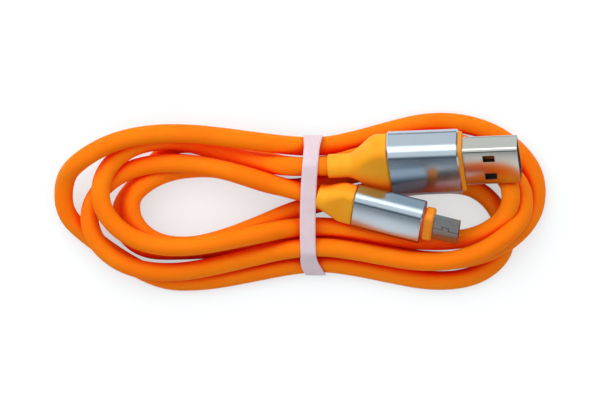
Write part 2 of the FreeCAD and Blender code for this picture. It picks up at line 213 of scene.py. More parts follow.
def newMaterial(name):
    material = bpy.data.materials.new(name)
    material.use_nodes = True
    tree = material.node_tree
    tree.nodes.clear()
    shader = addNode(tree, "ShaderNodeBsdfPrincipled")
    output = addNode(tree, "ShaderNodeOutputMaterial")
    tree.links.new(shader.outputs[0], output.inputs["Surface"])
    return material, tree, shader


def turnedCoordinates(tree, place):
    # object coordinates, moved and turned into a plug's own frame
    coordinates = addNode(tree, "ShaderNodeTexCoord")
    if place is None:
        return coordinates.outputs["Object"]
    mapping = addNode(tree, "ShaderNodeMapping", vector_type="TEXTURE")
    mapping.inputs["Location"].default_value = place.to_translation()
    mapping.inputs["Rotation"].default_value = place.to_euler()
    tree.links.new(coordinates.outputs["Object"], mapping.inputs["Vector"])
    return mapping.outputs["Vector"]


def rangeNode(tree, value, low, high):
    node = addNode(tree, "ShaderNodeMapRange")
    setInputs(node, To_Min=low, To_Max=high)
    tree.links.new(value, node.inputs["Value"])
    return node.outputs["Result"]


def mixColours(tree, factor, first, second):
    node = addNode(tree, "ShaderNodeMix", data_type="RGBA")
    node.inputs[6].default_value = (*first, 1)
    node.inputs[7].default_value = (*second, 1)
    tree.links.new(factor, node.inputs[0])
    return node.outputs[2]


shadeSamples = 8


def shadeNode(tree, reach):
    node = addNode(tree, "ShaderNodeAmbientOcclusion", samples=shadeSamples)
    return setInputs(node, Distance=reach)


def paintCreaseShade(tree, colour, s):
    # painted shade in the creases: the base colour turns deep red where ambient occlusion finds
    # strands close by, in place of the redder light that bounces between two strands
    shade = shadeNode(tree, s["paintedCreaseReach"])
    spread = addNode(tree, "ShaderNodeMapRange", interpolation_type="SMOOTHSTEP")
    setInputs(spread, From_Min=s["paintedCreaseRange"][0], From_Max=s["paintedCreaseRange"][1])
    tree.links.new(shade.outputs["AO"], spread.inputs["Value"])
    mixed = mixColours(tree, spread.outputs["Result"], s["paintedCreaseShade"], (0, 0, 0))
    tree.links.new(colour, mixed.node.inputs[7])
    return mixed


def softMaterial(name, s, place=None):
    # elastomer or moulded plastic: pitted, slightly uneven in colour and gloss
    material, tree, shader = newMaterial(name)
    skin = addNode(tree, "ShaderNodeGroup", node_tree=fineGrain)
    setInputs(skin, Grain_Per_Metre=s["grain"], Patch_Per_Metre=s["patch"])
    tree.links.new(turnedCoordinates(tree, place), skin.inputs["Vector"])
    colour = mixColours(tree, skin.outputs["Patch"], s["colour"], s["paler"])
    # painted crease shade, where the finish asks for it
    if "paintedCreaseShade" in s:
        colour = paintCreaseShade(tree, colour, s)
    tree.links.new(colour, shader.inputs["Base Color"])
    roughness = rangeNode(tree, skin.outputs["Height"], *s["roughness"])
    tree.links.new(roughness, shader.inputs["Roughness"])
    bump = addNode(tree, "ShaderNodeBump")
    setInputs(bump, Strength=s["bump"], Distance=s["depth"])
    tree.links.new(skin.outputs["Height"], bump.inputs["Height"])
    tree.links.new(bump.outputs["Normal"], shader.inputs["Normal"])
    setInputs(shader, Specular_IOR_Level=s["specular"], Subsurface_Weight=s["glow"],
              Subsurface_Scale=s["glowDepth"])
    shader.inputs["Subsurface Radius"].default_value = s["glowRadius"]
    return material


lineDepth = 0.02 * mm


def metalMaterial(name, s, place):
    # sheet metal with faint lines along the plug
    material, tree, shader = newMaterial(name)
    lines = addNode(tree, "ShaderNodeGroup", node_tree=drawLines)
    setInputs(lines, Lines_Per_Metre=s["lines"], Stretch=s["stretch"])
    turned = turnedCoordinates(tree, place)
    tree.links.new(turned, lines.inputs["Vector"])
    tone = lines.outputs["Tone"]
    tree.links.new(mixColours(tree, tone, s["colour"], s["paler"]), shader.inputs["Base Color"])
    tree.links.new(rangeNode(tree, tone, *s["roughness"]), shader.inputs["Roughness"])
    bump = addNode(tree, "ShaderNodeBump")
    setInputs(bump, Strength=s["bump"], Distance=lineDepth)
    tree.links.new(lines.outputs["Height"], bump.inputs["Height"])
    if "crown" in s:
        crown = addNode(tree, "ShaderNodeGroup", node_tree=crownedFace)
        setInputs(crown, Crown=s["crown"] / mm, Lean=s["lean"])
        crown.inputs["Across"].default_value = place.to_3x3() @ Vector((0, 1, 0))
        tree.links.new(turned, crown.inputs["Vector"])
        tree.links.new(crown.outputs["Normal"], bump.inputs["Normal"])
    tree.links.new(bump.outputs["Normal"], shader.inputs["Normal"])
    setInputs(shader, Metallic=1.0, Anisotropic=s["anisotropic"])
    return material


# the plugs' places
plugs = {
    "usb": {"rear": (6.3, 7.9, 11.1), "yaw": 2.2, "pitch": 6.5, "roll": 50.3},
    "micro": {"rear": (4.05, 1.31, 9.49), "yaw": -14.0, "pitch": 6.0, "roll": 48.0},
}


def plugPlace(s):
    place = Matrix.Translation(Vector(s["rear"]) * mm)
    place = place @ Matrix.Rotation(math.radians(s["yaw"]), 4, "Z")
    place = place @ Matrix.Rotation(math.radians(-s["pitch"]), 4, "Y")
    return place @ Matrix.Rotation(math.radians(s["roll"]), 4, "X")


usbPlace = plugPlace(plugs["usb"])
microPlace = plugPlace(plugs["micro"])


# finishes
finishes = {
    "cable": {
        "colour": (1.0, 0.205, 0.002),
        "paler": (1.0, 0.235, 0.003),
        "grain": 5200.0,
        "patch": 90.0,
        "roughness": (0.60, 0.76),
        "bump": 0.2,
        "depth": 0.03 * mm,
        "specular": 0.08,
        "glow": 0.45,
        "glowDepth": 2.2 * mm,
        "glowRadius": (1.0, 0.1, 0.02),
        # painted shade: deep red colour, reach and range of the crease darkening
        "paintedCreaseShade": (0.99, 0.025, 0.0),
        "paintedCreaseReach": 6 * mm,
        "paintedCreaseRange": (0.22, 0.8),
    },
    "boot": {
        "colour": (1.0, 0.38, 0.012),
        "paler": (1.0, 0.44, 0.020),
        "grain": 4200.0,
        "patch": 240.0,
        "roughness": (0.42, 0.58),
        "bump": 0.15,
        "depth": 0.03 * mm,
        "specular": 0.15,
        "glow": 0.35,
        "glowDepth": 1.8 * mm,
        "glowRadius": (1.0, 0.2, 0.03),
        # painted shade: deep red colour, reach and range of the crease darkening
        "paintedCreaseShade": (1.0, 0.12, 0.0),
        "paintedCreaseReach": 7 * mm,
        "paintedCreaseRange": (0.25, 0.9),
    },
    "mould": {
        "colour": (0.96, 0.30, 0.010),
        "paler": (0.97, 0.34, 0.014),
        "grain": 4800.0,
        "patch": 300.0,
        "roughness": (0.40, 0.55),
        "bump": 0.15,
        "depth": 0.02 * mm,
        "specular": 0.3,
        "glow": 0.2,
        "glowDepth": 1.4 * mm,
        "glowRadius": (1.0, 0.2, 0.03),
        # painted shade: deep red colour, reach and range of the crease darkening
        "paintedCreaseShade": (0.98, 0.08, 0.0),
        "paintedCreaseReach": 4 * mm,
        "paintedCreaseRange": (0.2, 0.75),
    },
    "carrier": {
        "colour": (0.012, 0.012, 0.014),
        "paler": (0.02, 0.02, 0.022),
        "grain": 6000.0,
        "patch": 400.0,
        "roughness": (0.45, 0.6),
        "bump": 0.2,
        "depth": 0.01 * mm,
        "specular": 0.4,
        "glow": 0.0,
        "glowDepth": 1.0 * mm,
        "glowRadius": (1.0, 1.0, 1.0),
    },
    "band": {
        "colour": (0.74, 0.59, 0.64),
        "paler": (0.78, 0.63, 0.68),
        "grain": 3000.0,
        "patch": 420.0,
        "roughness": (0.45, 0.6),
        "bump": 0.3,
        "depth": 0.03 * mm,
        "specular": 0.35,
        "glow": 0.25,
        "glowDepth": 0.8 * mm,
        "glowRadius": (1.0, 0.7, 0.8),
    },
    "sleeve": {
        "colour": (0.44, 0.53, 0.60),
        "paler": (0.56, 0.64, 0.70),
        "lines": 2600.0,
        "stretch": 0.03,
        "roughness": (0.20, 0.27),
        "bump": 0.08,
        "anisotropic": 0.3,
        "crown": 0.024,
        "lean": -0.05,
    },
    "shell": {
        "colour": (0.50, 0.52, 0.47),
        "paler": (0.60, 0.61, 0.56),
        "lines": 3800.0,
        "stretch": 0.05,
        "roughness": (0.13, 0.22),
        "bump": 0.1,
        "anisotropic": 0.2,
        "crown": 0.012,
        "lean": -0.05,
    },
    "microShell": {
        "colour": (0.30, 0.31, 0.30),
        "paler": (0.40, 0.41, 0.40),
        "lines": 4200.0,
        "stretch": 0.06,
        "roughness": (0.20, 0.32),
        "bump": 0.15,
        "anisotropic": 0.2,
    },
    "contact": {
        "colour": (0.80, 0.58, 0.22),
        "paler": (0.88, 0.68, 0.32),
        "lines": 5000.0,
        "stretch": 0.05,
        "roughness": (0.2, 0.3),
        "bump": 0.1,
        "anisotropic": 0.2,
    },
    "spring": {
        "colour": (0.55, 0.55, 0.55),
        "paler": (0.65, 0.65, 0.65),
        "lines": 5000.0,
        "stretch": 0.05,
        "roughness": (0.22, 0.34),
        "bump": 0.1,
        "anisotropic": 0.2,
    },
}

cableRubber = softMaterial("cableRubber", finishes["cable"])
usbBootRubber = softMaterial("usbBootRubber", finishes["boot"], usbPlace)
microBootRubber = softMaterial("microBootRubber", finishes["boot"], microPlace)
usbMould = softMaterial("usbMould", finishes["mould"], usbPlace)
microMould = softMaterial("microMould", finishes["mould"], microPlace)
carrierPlastic = softMaterial("carrierPlastic", finishes["carrier"])
bandRubber = softMaterial("bandRubber", finishes["band"])
usbSleeveMetal = metalMaterial("usbSleeveMetal", finishes["sleeve"], usbPlace)
microSleeveMetal = metalMaterial("microSleeveMetal", finishes["sleeve"], microPlace)
usbShellMetal = metalMaterial("usbShellMetal", finishes["shell"], usbPlace)
microShellMetal = metalMaterial("microShellMetal", finishes["microShell"], microPlace)
usbContactMetal = metalMaterial("usbContactMetal", finishes["contact"], usbPlace)
microContactMetal = metalMaterial("microContactMetal", finishes["contact"], microPlace)
springMetal = metalMaterial("springMetal", finishes["spring"], microPlace)

nodeFinish = {
    "usb_a_sleeve": usbSleeveMetal,
    "usb_a_inner_mould": usbMould,
    "usb_a_shell": usbShellMetal,
    "usb_a_insulator": carrierPlastic,
    "micro_b_sleeve": microSleeveMetal,
    "micro_b_inner_mould": microMould,
    "micro_b_shell": microShellMetal,
    "micro_b_insulator": carrierPlastic,
    "micro_b_latch_base": springMetal,
    "micro_b_latch_left": springMetal,
    "micro_b_latch_right": springMetal,
}
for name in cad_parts:
    if name.startswith("usb_a_contact"):
        nodeFinish[name] = usbContactMetal
    if name.startswith("micro_b_contact"):
        nodeFinish[name] = microContactMetal
for name, material in nodeFinish.items():
    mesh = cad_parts[name].data
    mesh.materials.clear()
    mesh.materials.append(material)
print("finishes made")


# pieces
def linkMesh(name, bm, material, smooth=True):
    bmesh.ops.recalc_face_normals(bm, faces=bm.faces)
    mesh = bpy.data.meshes.new(name)
    bm.to_mesh(mesh)
    bm.free()
    for polygon in mesh.polygons:
        polygon.use_smooth = smooth
    mesh.materials.append(material)
    piece = bpy.data.objects.new(name, mesh)
    bpy.context.scene.collection.objects.link(piece)
    return piece


# the cable, in millimetres and degrees
cable = {
    "diameter": 4.0,
    "thickness": 4.16,
    "floorHeight": 1.6,
    "straightEnd": 4.0,
    "waistX": 1.7,
    "endRises": (4.5, 8.6),
    "firstSag": 0.5,
    "length": 0.976,
    "resolution": 5,
    "bevelResolution": 5,
    # each half loop: crown in, tip, crown out, the five rises from crown to crown,
    # and how far out its two shoulders stand
    "halfLoops": [
        ((-29.7, 13.5), (-43.9, 2.0), (-27.5, -9.9), (5.8, 7.5, 9.2, 9.0, 9.4), (0.71, 0.71)),
        ((29.9, -8.6), (46.6, 1.2), (37.5, 8.9), (3.5, 7.0, 8.6, 5.4, 4.0), (0.73, 0.71)),
        ((-20.9, 7.5), (-37.3, -1.1), (-26.4, -9.7), (1.1, 4.4, 4.3, 4.4, 4.9), (0.71, 0.71)),
        ((34.3, 3.9), (45.5, -8.4), (31.7, -17.4), (0.0, 0.0, 0.0, 0.0, 0.0), (0.71, 0.71)),
        ((-25.3, -17.6), (-52.2, 1.3), (-28.1, 15.1), (0.0, 0.0, 3.7, 10.9, 10.7), (0.635, 0.71)),
        ((31.5, 17.7), (52.5, 2.4), (31.0, -13.0), (0.0, 0.0, 0.0, 4.3, 2.2), (0.70, 0.71)),
        ((-30.4, -10.8), (-39.6, -3.4), (-25.5, 12.9), (0.0, 0.0, 0.0, 0.0, 0.0), (0.71, 0.6)),
        ((30.3, 13.7), (49.6, 0.2), (29.2, -13.2), (2.6, 1.3, 5.2, 9.9, 7.3), (0.67, 0.69)),
        ((-29.7, -15.5), (-46.4, -3.5), (-28.2, 8.6), (4.5, 4.8, 5.1, 5.2, 7.6), (0.71, 0.71)),
    ],
    # each pass of the waist: y, heading, and the rises before, at and after it
    "waists": [
        (-5.5, 3, 9.2, 4.4, 3.0),
        (3.6, 196, 0.7, 1.5, 1.6),
        (-1.0, 17, 3.7, 0.9, 0.0),
        (-13.65, 185, 0.0, 0.9, 0.0),
        (12.3, 358, 8.8, 4.1, 0.0),
        (-8.6, 186, 0.0, 0.9, 0.0),
        (7.9, 1, 0.0, 3.0, 4.5),
        (-10.1, 184, 5.1, 5.0, 4.3),
    ],
}


def headingOf(dx, dy):
    return math.degrees(math.atan2(dy, dx))


def loopStations(loop):
    (cx, cy), (tx, ty), (ox, oy), rises, (near, far) = loop
    away = 0 if tx > 0 else 180
    turn = 90 if oy > cy else -90
    return [
        (cx, cy, rises[0], away),
        (cx + near * (tx - cx), ty - near * (ty - cy), rises[1], headingOf(tx - cx, ty - cy)),
        (tx, ty, rises[2], turn),
        (ox + far * (tx - ox), ty - far * (ty - oy), rises[3], headingOf(ox - tx, oy - ty)),
        (ox, oy, rises[4], away + 180),
    ]


def middleStation(start, end, rise):
    # middle of the cubic that joins two stations at their headings
    ax, ay, _, ah = start
    bx, by, _, bh = end
    span = math.hypot(bx - ax, by - ay)
    ux, uy = math.cos(math.radians(ah)), math.sin(math.radians(ah))
    vx, vy = math.cos(math.radians(bh)), math.sin(math.radians(bh))
    x = (ax + bx) / 2 + span * (ux - vx) / 8
    y = (ay + by) / 2 + span * (uy - vy) / 8
    dx = 1.5 * (bx - ax) - 0.25 * span * (ux + vx)
    dy = 1.5 * (by - ay) - 0.25 * span * (uy + vy)
    return (x, y, rise, headingOf(dx, dy))


def plugStation(s, place, heading):
    p = place @ Vector((-s["straightEnd"] * mm, 0, 0)) / mm
    return (p.x, p.y, p.z - s["floorHeight"], heading)


def cableStations(s):
    start = plugStation(s, usbPlace, plugs["usb"]["yaw"] + 180)
    finish = plugStation(s, microPlace, plugs["micro"]["yaw"])
    loops = [loopStations(loop) for loop in s["halfLoops"]]
    x, y, rise, heading = middleStation(start, loops[0][0], s["endRises"][0])
    stations = [start, (x, y - s["firstSag"], rise, heading)] + loops[0]
    for loop, (y, heading, before, rise, after) in zip(loops[1:], s["waists"]):
        crossing = (s["waistX"], y, rise, heading)
        stations.append(middleStation(stations[-1], crossing, before))
        stations.append(crossing)
        stations.append(middleStation(crossing, loop[0], after))
        stations += loop
    stations.append(middleStation(stations[-1], finish, s["endRises"][1]))
    stations.append(finish)
    return stations


def climbRates(stations, first, last):
    # level at a high or low point, else between the slopes of its two spans
    lengths = []
    rates = []
    for a, b in zip(stations, stations[1:]):
        turn = math.radians((b[3] - a[3] + 180) % 360 - 180)
        chord = math.hypot(b[0] - a[0], b[1] - a[1])
        lengths.append(chord * (1 + turn * turn / 24))  # chord of an arc to its length
        rates.append((b[2] - a[2]) / lengths[-1])
    climbs = [first]
    for i in range(1, len(stations) - 1):
        before, after = rates[i - 1], rates[i]
        if before * after <= 0:
            climbs.append(0.0)
            continue
        w = 2 * lengths[i] + lengths[i - 1]
        u = lengths[i] + 2 * lengths[i - 1]
        climbs.append((w + u) / (w / before + u / after))
    return climbs + [last]


def cablePoints(s):
    # two points between stations, where the headings from both ends meet a common line
    stations = cableStations(s)
    first = -math.tan(math.radians(plugs["usb"]["pitch"]))
    last = math.tan(math.radians(plugs["micro"]["pitch"]))
    climbs = climbRates(stations, first, last)
    spots = []
    ways = []
    for (x, y, rise, heading), climb in zip(stations, climbs):
        turn = math.radians(heading)
        spots.append(Vector((x, y, max(s["floorHeight"] + rise, s["thickness"] / 2))))
        ways.append(Vector((math.cos(turn), math.sin(turn), climb)).normalized())
    points = [usbPlace.to_translation() / mm]
    for p, q, t, u in zip(spots, spots[1:], ways, ways[1:]):
        chord = q - p
        a = 2 * (1 - t.dot(u))
        b = chord.dot(t + u)
        c = chord.dot(chord)
        reach = c / (2 * b) if a < 1e-9 else (math.sqrt(b * b + a * c) - b) / a
        points += [p + t * reach, q - u * reach]
    points.append(microPlace.to_translation() / mm)
    return [p * mm for p in points]


def makeCable(s):
    points = cablePoints(s)
    data = bpy.data.curves.new("cable", "CURVE")
    data.dimensions = "3D"
    data.resolution_u = s["resolution"]
    data.bevel_depth = 1.0  # times each point's radius
    data.bevel_resolution = s["bevelResolution"]
    data.use_fill_caps = True
    spline = data.splines.new("NURBS")
    spline.points.add(len(points) - 1)
    for point, p in zip(spline.points, points):
        point.co = (*p, 1)
        point.radius = s["thickness"] * mm / 2
    spline.order_u = 3
    spline.use_endpoint_u = True
    spline.use_smooth = True
    piece = bpy.data.objects.new("cable", data)
    bpy.context.scene.collection.objects.link(piece)
    data.materials.append(cableRubber)
    return piece, points


cablePiece, cableRoute = makeCable(cable)
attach(cablePiece, "lead")
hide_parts("cable_jacket")
print("cable made:", len(cableRoute), "points")


# moulded boots
usbBoot = {
    "length": 13.7,
    "tail": 5.3,
    "width": 15.2,
    "height": 6.9,
    "radius": 2.1,
    "hold": 4.2,
    "flare": 11.6,
    "tailRound": 0.35,
    "tailSteps": 4,
    "rings": 34,
    "cornerSteps": 12,
}
microBoot = {
    "length": 8.3,
    "tail": 5.6,
    "width": 10.0,
    "height": 4.8,
    "radius": 1.7,
    "hold": 0.6,
    "flare": 6.2,
    "tailRound": 0.4,
    "tailSteps": 4,
    "rings": 28,
    "cornerSteps": 12,
}


def easedShare(t):
    t = min(max(t, 0.0), 1.0)
    return t * t * (3 - 2 * t)


def frameRing(x, width, height, radius, steps):
    # rounded rectangle across a plug, the same count of points on every ring
    a, b = width / 2, height / 2
    r = min(radius, a - 0.001, b - 0.001)
    ring = []
    for corner in range(4):
        sy = 1 if corner in (0, 3) else -1
        sz = 1 if corner < 2 else -1
        for i in range(steps + 1):
            angle = math.radians(90 * corner + 90 * i / steps)
            y = sy * (a - r) + r * math.cos(angle)
            z = sz * (b - r) + r * math.sin(angle)
            ring.append((x, y, z))
    return ring


def bootRings(s):
    rings = []
    tail, soft = s["tail"], s["tailRound"]
    for i in range(s["tailSteps"] + 1):
        angle = math.radians(90 * i / s["tailSteps"])
        x = soft * (1 - math.cos(angle))
        size = tail - 2 * soft * (1 - math.sin(angle))
        rings.append(frameRing(x, size, size, size / 2, s["cornerSteps"]))
    for i in range(1, s["rings"] + 1):
        x = soft + (s["length"] - soft) * i / s["rings"]
        share = easedShare((x - s["hold"]) / (s["flare"] - s["hold"]))
        wide = tail + (s["width"] - tail) * share
        high = tail + (s["height"] - tail) * share
        radius = tail / 2 + (s["radius"] - tail / 2) * share
        rings.append(frameRing(x, wide, high, radius, s["cornerSteps"]))
    return rings


def makeBoot(name, s, place, material):
    bm = bmesh.new()
    loops = []
    for ring in bootRings(s):
        loops.append([bm.verts.new(place @ (Vector(p) * mm)) for p in ring])
    for a, b in zip(loops, loops[1:]):
        for i in range(len(a)):
            j = (i + 1) % len(a)
            bm.faces.new((a[i], a[j], b[j], b[i]))
    bm.faces.new(loops[0])
    bm.faces.new(loops[-1])
    bmesh.ops.remove_doubles(bm, verts=bm.verts, dist=0.001 * mm)
    return linkMesh(name, bm, material)


for name, s, place, material, node in (
    ("usbBoot", usbBoot, usbPlace, usbBootRubber, "usb_a_boot"),
    ("microBoot", microBoot, microPlace, microBootRubber, "micro_b_boot"),
):
    piece = makeBoot(name, s, place, material)
    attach(piece, "lead")
    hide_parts(node)
print("boots made")


# tie band
tieBand = {
    "width": 3.45,
    "edgeWidth": 1.0,
    "thickness": 0.28,
    "clearance": 0.12,
    "middleX": 1.8,
    "around": 360,
    "across": 8,
    "ripple": 0.06,
    "rippleScale": 420.0,
    "rippleMiddle": 0.4,
    "rippleSlant": 0.35,
    "seed": 3.7,
    "side": 0.4,
    "turnStep": 0.12,
    "lineSteps": 8,
    "mergeReach": 0.002,
    "insideHeight": 6.0,
    # a slow bow towards the top, and a quick flick at the lower edge
    "bowFrom": -5.0,
    "bowSpan": 20.0,
    "bow": 1.25,
    "flickBelow": -12.0,
    "flick": 0.085,
    "edgeRange": (11.5, 15.5),
}


def convexOutline(points):
    ordered = sorted(set(points))

    def half(run):
        chain = []
        for p in run:
            while len(chain) > 1:
                (ax, ay), (bx, by) = chain[-2], chain[-1]
                if (bx - ax) * (p[1] - ay) - (by - ay) * (p[0] - ax) > 1e-9:
                    break
                chain.pop()
            chain.append(p)
        return chain[:-1]

    return half(ordered) + half(reversed(ordered))


def strandSpots(piece, low, high, steps):
    # where the cable's own line passes through the band's width
    bevel = piece.data.bevel_depth
    piece.data.bevel_depth = 0
    bpy.context.view_layer.update()
    graph = bpy.context.evaluated_depsgraph_get()
    line = bpy.data.meshes.new_from_object(piece.evaluated_get(graph))
    piece.data.bevel_depth = bevel
    spots = []
    ends = [v.co / mm for v in line.vertices]
    for a, b in zip(ends, ends[1:]):
        for i in range(steps):
            p = a.lerp(b, i / steps)
            if low <= p.x <= high:
                spots.append((round(p.y, 3), round(p.z, 3)))
    bpy.data.meshes.remove(line)
    return spots


def bandPath(s):
    # rounded outline round the strands, as points of a closed line
    offset = cable["diameter"] / 2 + s["clearance"] + s["thickness"] / 2
    lowest = offset + s["thickness"] / 2
    reach = s["width"] / 2 + s["side"]
    low, high = s["middleX"] - reach, s["middleX"] + reach
    spots = strandSpots(cablePiece, low, high, s["lineSteps"])
    corners = convexOutline([(y, max(z, lowest)) for y, z in spots])
    path = []
    for i in range(len(corners)):
        before, here, after = corners[i - 1], corners[i], corners[(i + 1) % len(corners)]
        angles = []
        for a, b in ((before, here), (here, after)):
            angles.append(math.atan2(-(b[0] - a[0]), b[1] - a[1]))
        start, end = angles
        while end < start:
            end += 2 * math.pi
        steps = max(1, int((end - start) / s["turnStep"]))
        for k in range(steps + 1):
            angle = start + (end - start) * k / steps
            y = here[0] + offset * math.cos(angle)
            z = here[1] + offset * math.sin(angle)
            path.append((y, z))
    return path


def bandTree(s):
    tree = bpy.data.node_groups.new("bandAlongPath", "GeometryNodeTree")
    tree.interface.new_socket("Geometry", in_out="INPUT", socket_type="NodeSocketGeometry")
    for label, value in (
        ("Width", s["width"] * mm),
        ("Edge Width", s["edgeWidth"] * mm),
        ("Middle X", s["middleX"] * mm),
        ("Ripple", s["ripple"] * mm),
        ("Seed", s["seed"]),
    ):
        socket = tree.interface.new_socket(label, in_out="INPUT", socket_type="NodeSocketFloat")
        socket.default_value = value
    tree.interface.new_socket("Material", in_out="INPUT", socket_type="NodeSocketMaterial")
    tree.interface.new_socket("Geometry", in_out="OUTPUT", socket_type="NodeSocketGeometry")
    enter = addNode(tree, "NodeGroupInput")
    leave = addNode(tree, "NodeGroupOutput")

    def calc(operation, *values):
        return mathNode(tree, operation, *values)

    grid = addNode(tree, "GeometryNodeMeshGrid")
    setInputs(grid, Size_X=1.0, Size_Y=1.0,
              Vertices_X=s["around"] + 1, Vertices_Y=s["across"] + 1)
    place = addNode(tree, "GeometryNodeInputPosition")
    split = addNode(tree, "ShaderNodeSeparateXYZ")
    tree.links.new(place.outputs[0], split.inputs[0])
    along = calc("ADD", split.outputs["X"], 0.5)
    sample = addNode(tree, "GeometryNodeSampleCurve", mode="FACTOR", data_type="FLOAT_VECTOR")
    tree.links.new(enter.outputs["Geometry"], sample.inputs["Curves"])
    tree.links.new(along, sample.inputs["Factor"])
    spot = addNode(tree, "ShaderNodeSeparateXYZ")
    tree.links.new(sample.outputs["Position"], spot.inputs[0])
    y = spot.outputs["Y"]
    fromLow = calc("MULTIPLY", calc("SUBTRACT", y, s["bowFrom"] * mm), 1 / (s["bowSpan"] * mm))
    bow = calc("MULTIPLY", calc("MULTIPLY", fromLow, fromLow), s["bow"] * mm)
    past = calc("MAXIMUM", calc("SUBTRACT", s["flickBelow"] * mm, y), 0.0)
    past = calc("MULTIPLY", past, 1 / mm)
    flick = calc("MULTIPLY", calc("MULTIPLY", past, past), s["flick"] * mm)
    middle = calc("ADD", calc("ADD", bow, flick), enter.outputs["Middle X"])
    edge = addNode(tree, "ShaderNodeMapRange", interpolation_type="SMOOTHSTEP")
    setInputs(edge, From_Min=s["edgeRange"][0] * mm, From_Max=s["edgeRange"][1] * mm)
    tree.links.new(calc("ABSOLUTE", y), edge.inputs["Value"])
    extra = calc("MULTIPLY", edge.outputs["Result"], enter.outputs["Edge Width"])
    wide = calc("ADD", enter.outputs["Width"], extra)
    x = calc("ADD", middle, calc("MULTIPLY", split.outputs["Y"], wide))
    noise = addNode(tree, "ShaderNodeTexNoise", noise_dimensions="4D")
    setInputs(noise, Scale=s["rippleScale"], Detail=1.0)
    tree.links.new(sample.outputs["Position"], noise.inputs["Vector"])
    slant = calc("MULTIPLY", split.outputs["Y"], s["rippleSlant"])
    tree.links.new(calc("ADD", enter.outputs["Seed"], slant), noise.inputs["W"])
    swell = calc("SUBTRACT", noise.outputs["Fac"], s["rippleMiddle"])
    swell = calc("MULTIPLY", swell, enter.outputs["Ripple"])
    outward = addNode(tree, "ShaderNodeVectorMath", operation="CROSS_PRODUCT")
    tree.links.new(sample.outputs["Tangent"], outward.inputs[0])
    outward.inputs[1].default_value = (1, 0, 0)
    lift = addNode(tree, "ShaderNodeVectorMath", operation="SCALE")
    tree.links.new(outward.outputs[0], lift.inputs[0])
    tree.links.new(swell, lift.inputs["Scale"])
    base = addNode(tree, "ShaderNodeCombineXYZ")
    for source, name in ((x, "X"), (y, "Y"), (spot.outputs["Z"], "Z")):
        tree.links.new(source, base.inputs[name])
    total = addNode(tree, "ShaderNodeVectorMath", operation="ADD")
    tree.links.new(base.outputs[0], total.inputs[0])
    tree.links.new(lift.outputs[0], total.inputs[1])
    move = addNode(tree, "GeometryNodeSetPosition")
    tree.links.new(grid.outputs["Mesh"], move.inputs["Geometry"])
    tree.links.new(total.outputs[0], move.inputs["Position"])
    close = addNode(tree, "GeometryNodeMergeByDistance")
    setInputs(close, Distance=s["mergeReach"] * mm)
    tree.links.new(move.outputs[0], close.inputs["Geometry"])
    real = addNode(tree, "GeometryNodeRealizeInstances")
    tree.links.new(close.outputs[0], real.inputs[0])
    paint = addNode(tree, "GeometryNodeSetMaterial")
    tree.links.new(real.outputs[0], paint.inputs["Geometry"])
    tree.links.new(enter.outputs["Material"], paint.inputs["Material"])
    tree.links.new(paint.outputs[0], leave.inputs[0])
    return tree


def setModifierInput(modifier, label, value):
    for item in modifier.node_group.interface.items_tree:
        if item.item_type == "SOCKET" and item.in_out == "INPUT" and item.name == label:
            modifier[item.identifier] = value


def makeBand(s):
    path = bandPath(s)
    data = bpy.data.curves.new("bandPath", "CURVE")
    data.dimensions = "3D"
    line = data.splines.new("POLY")
    line.points.add(len(path) - 1)
    for point, (y, z) in zip(line.points, path):
        point.co = (0, y * mm, z * mm, 1)
    line.use_cyclic_u = True
    carrier = bpy.data.objects.new("bandPath", data)
    bpy.context.scene.collection.objects.link(carrier)
    modifier = carrier.modifiers.new("bandAlongPath", "NODES")
    modifier.node_group = bandTree(s)
    setModifierInput(modifier, "Material", bandRubber)
    bpy.context.view_layer.update()
    graph = bpy.context.evaluated_depsgraph_get()
    mesh = bpy.data.meshes.new_from_object(carrier.evaluated_get(graph))
    mesh.name = "tieBand"
    bpy.data.objects.remove(carrier)
    piece = bpy.data.objects.new("tieBand", mesh)
    bpy.context.scene.collection.objects.link(piece)
    bm = bmesh.new()
    bm.from_mesh(mesh)
    bmesh.ops.remove_doubles(bm, verts=bm.verts, dist=s["mergeReach"] * mm)
    bmesh.ops.recalc_face_normals(bm, faces=bm.faces)
    centre = Vector((s["middleX"], 0, s["insideHeight"])) * mm
    face = max(bm.faces, key=lambda f: f.calc_center_median().z)
    if face.normal.dot(face.calc_center_median() - centre) < 0:
        bmesh.ops.reverse_faces(bm, faces=bm.faces)
    bm.to_mesh(mesh)
    bm.free()
    for polygon in mesh.polygons:
        polygon.use_smooth = True
    wall = piece.modifiers.new("wall", "SOLIDIFY")
    wall.thickness = s["thickness"] * mm
    wall.offset = 0
    return piece


bandPiece = makeBand(tieBand)
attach(bandPiece, "lead")
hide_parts("tie_band")
print("band made:", len(bandPiece.data.polygons), "faces")


# seam of the stamped micro-B shell
seam = {
    "width": 0.16,
    "lift": 0.006,
    "depth": 0.05,
    "height": 0.9,
    "start": 26.4,
    "end": 32.2,
    "from": 28.6,
    "to": 29.9,
    "head": 0.95,
    "spread": 0.15,
    "colour": (0.02, 0.02, 0.02),
    "paler": (0.04, 0.04, 0.04),
}


def seamLine(s):
    # straight joint with one dovetail let into it
    a, b, head, spread = s["from"], s["to"], s["head"], s["spread"]
    return [(s["start"], 0), (a, 0), (a - spread, head), (b + spread, head), (b, 0), (s["end"], 0)]


